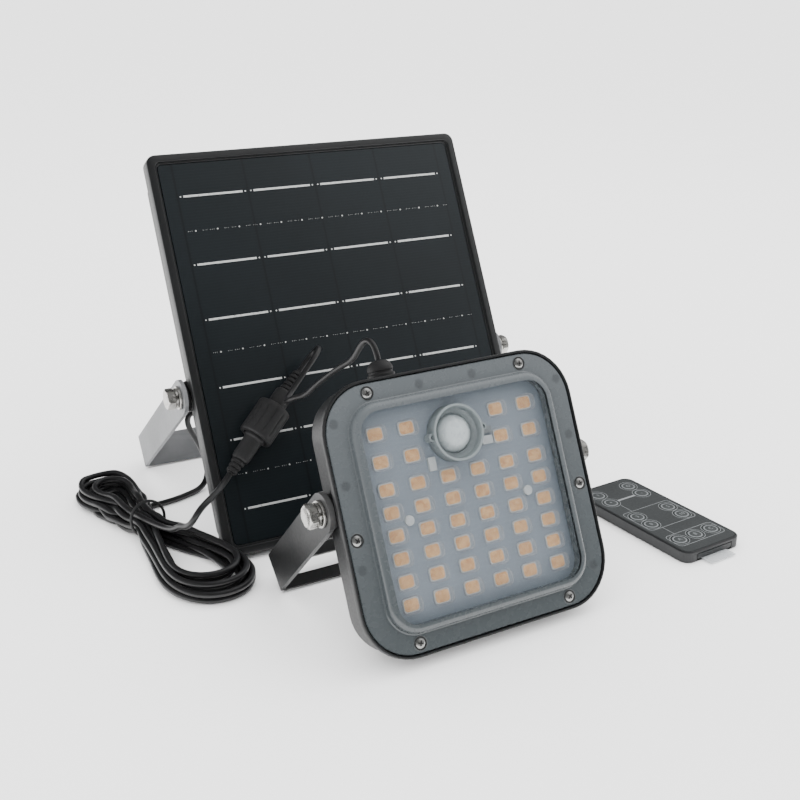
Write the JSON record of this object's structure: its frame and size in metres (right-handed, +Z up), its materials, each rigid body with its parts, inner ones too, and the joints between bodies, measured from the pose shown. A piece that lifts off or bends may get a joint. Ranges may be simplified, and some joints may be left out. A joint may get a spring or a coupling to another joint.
{
  "type": "solar flood light",
  "caption": "Solar flood light set: framed solar panel and square flood lamp on folding U brackets, joined by a cord with a screw-collar connector, with a slim remote.",
  "frame": {"origin": "middle of the footprint of the set without its cords, on the surface it stands on", "axes": "+Z up, the fronts of the panel and the lamp face -Y, +X to the viewer's right seen from the front"},
  "size_m": [0.298, 0.2722, 0.1896],
  "materials": {
    "housing_black": "satin moulded",
    "solar_glass": "clear low-iron glass over dark cells",
    "solar_cells": "dark cells with silver ribbons",
    "bracket_grey": "satin grey coat",
    "bracket_black": "satin black coat",
    "zinc_hardware": "bright zinc plate",
    "pad_rubber": "matte",
    "cover_smoked": "clear polycarbonate with a smoky printed border",
    "led_board": "white solder mask",
    "led_lens": "clear moulded lenses",
    "sensor_white": "satin",
    "battery_blue": "shrink wrap",
    "board_green": "solder mask",
    "cord_black": "satin jacket",
    "remote_grey": "fine matte",
    "cell_steel": "bright",
    "tab_clear": "clear film"
  },
  "bodies": {
    "set": {"panel_housing": "housing_black", "solar_glass": "solar_glass", "cell_board": "solar_cells", "panel_junction_box": "housing_black", "panel_cable_gland": "housing_black", "panel_bolt_left": "zinc_hardware", "panel_bolt_right": "zinc_hardware", "panel_pad_left": "pad_rubber", "panel_pad_right": "pad_rubber", "lamp_housing": "housing_black", "cover_gasket": "pad_rubber", "front_cover": "cover_smoked", "cover_screw_1": "zinc_hardware", "cover_screw_2": "zinc_hardware", "cover_screw_3": "zinc_hardware", "cover_screw_4": "zinc_hardware", "cover_screw_5": "zinc_hardware", "cover_screw_6": "zinc_hardware", "led_board": "led_board", "lens_sheet": "led_lens", "pir_well": "sensor_white", "pir_dome": "sensor_white", "battery_pack": "battery_blue", "control_board": "board_green", "rear_cover": "housing_black", "lamp_cable_gland": "housing_black", "lamp_bolt_left": "zinc_hardware", "lamp_bolt_right": "zinc_hardware", "lamp_pad_left": "pad_rubber", "lamp_pad_right": "pad_rubber", "connector_socket": "cord_black", "connector_plug": "cord_black", "cord_hank": "cord_black", "hank_tie": "cord_black", "panel_cord": "cord_black", "riser_cord": "cord_black", "lamp_lead": "cord_black"},
    "panel_bracket": {"panel_bracket": "bracket_grey"},
    "lamp_bracket": {"lamp_bracket": "bracket_black"},
    "collar": {"collar_nut": "cord_black"},
    "remote": {"remote_case": "remote_grey", "remote_board": "board_green", "remote_overlay": "remote_grey", "infrared_led": "housing_black"},
    "key_1": {"remote_key_1": "remote_grey"},
    "key_2": {"remote_key_2": "remote_grey"},
    "key_3": {"remote_key_3": "remote_grey"},
    "key_4": {"remote_key_4": "remote_grey"},
    "key_5": {"remote_key_5": "remote_grey"},
    "key_6": {"remote_key_6": "remote_grey"},
    "key_7": {"remote_key_7": "remote_grey"},
    "key_8": {"remote_key_8": "remote_grey"},
    "key_9": {"remote_key_9": "remote_grey"},
    "key_10": {"remote_key_10": "remote_grey"},
    "key_11": {"remote_key_11": "remote_grey"},
    "battery_tray": {"battery_tray": "remote_grey", "coin_cell": "cell_steel"},
    "pull_tab": {"battery_pull_tab": "tab_clear"}
  },
  "joints": [
    {"name": "panel_tilt", "type": "hinge", "parent": "set", "child": "panel_bracket", "pos_m": [-0.02634, 0.04237, 0.07308], "axis": [1, 0, 0], "range_deg": [0, 85]},
    {"name": "lamp_tilt", "type": "hinge", "parent": "set", "child": "lamp_bracket", "pos_m": [-0.03468, -0.09178, 0.06323], "axis": [0.9988, 0.0488, 0], "range_deg": [0, 45]},
    {"name": "collar_turn", "type": "hinge", "parent": "set", "child": "collar", "pos_m": [-0.08534, 0.01352, 0.06394], "axis": [0.7242, 0.3291, 0.6061], "continuous": true},
    {"name": "remote_lift", "type": "slide", "parent": "set", "child": "remote", "axis": [0, 0, 1], "range_m": [0, 0.15]},
    {"name": "key_1_press", "type": "slide", "parent": "remote", "child": "key_1", "axis": [0, 0, -1], "range_m": [0, 0.0004], "stiffness_N_per_m": 2000},
    {"name": "key_2_press", "type": "slide", "parent": "remote", "child": "key_2", "axis": [0, 0, -1], "range_m": [0, 0.0004], "stiffness_N_per_m": 2000},
    {"name": "key_3_press", "type": "slide", "parent": "remote", "child": "key_3", "axis": [0, 0, -1], "range_m": [0, 0.0004], "stiffness_N_per_m": 2000},
    {"name": "key_4_press", "type": "slide", "parent": "remote", "child": "key_4", "axis": [0, 0, -1], "range_m": [0, 0.0004], "stiffness_N_per_m": 2000},
    {"name": "key_5_press", "type": "slide", "parent": "remote", "child": "key_5", "axis": [0, 0, -1], "range_m": [0, 0.0004], "stiffness_N_per_m": 2000},
    {"name": "key_6_press", "type": "slide", "parent": "remote", "child": "key_6", "axis": [0, 0, -1], "range_m": [0, 0.0004], "stiffness_N_per_m": 2000},
    {"name": "key_7_press", "type": "slide", "parent": "remote", "child": "key_7", "axis": [0, 0, -1], "range_m": [0, 0.0004], "stiffness_N_per_m": 2000},
    {"name": "key_8_press", "type": "slide", "parent": "remote", "child": "key_8", "axis": [0, 0, -1], "range_m": [0, 0.0004], "stiffness_N_per_m": 2000},
    {"name": "key_9_press", "type": "slide", "parent": "remote", "child": "key_9", "axis": [0, 0, -1], "range_m": [0, 0.0004], "stiffness_N_per_m": 2000},
    {"name": "key_10_press", "type": "slide", "parent": "remote", "child": "key_10", "axis": [0, 0, -1], "range_m": [0, 0.0004], "stiffness_N_per_m": 2000},
    {"name": "key_11_press", "type": "slide", "parent": "remote", "child": "key_11", "axis": [0, 0, -1], "range_m": [0, 0.0004], "stiffness_N_per_m": 2000},
    {"name": "battery_tray_slide", "type": "slide", "parent": "remote", "child": "battery_tray", "axis": [0.1115, -0.9938, 0], "range_m": [0, 0.022]},
    {"name": "pull_tab_slide", "type": "slide", "parent": "remote", "child": "pull_tab", "axis": [0.1115, -0.9938, 0], "range_m": [0, 0.028]}
  ]
}
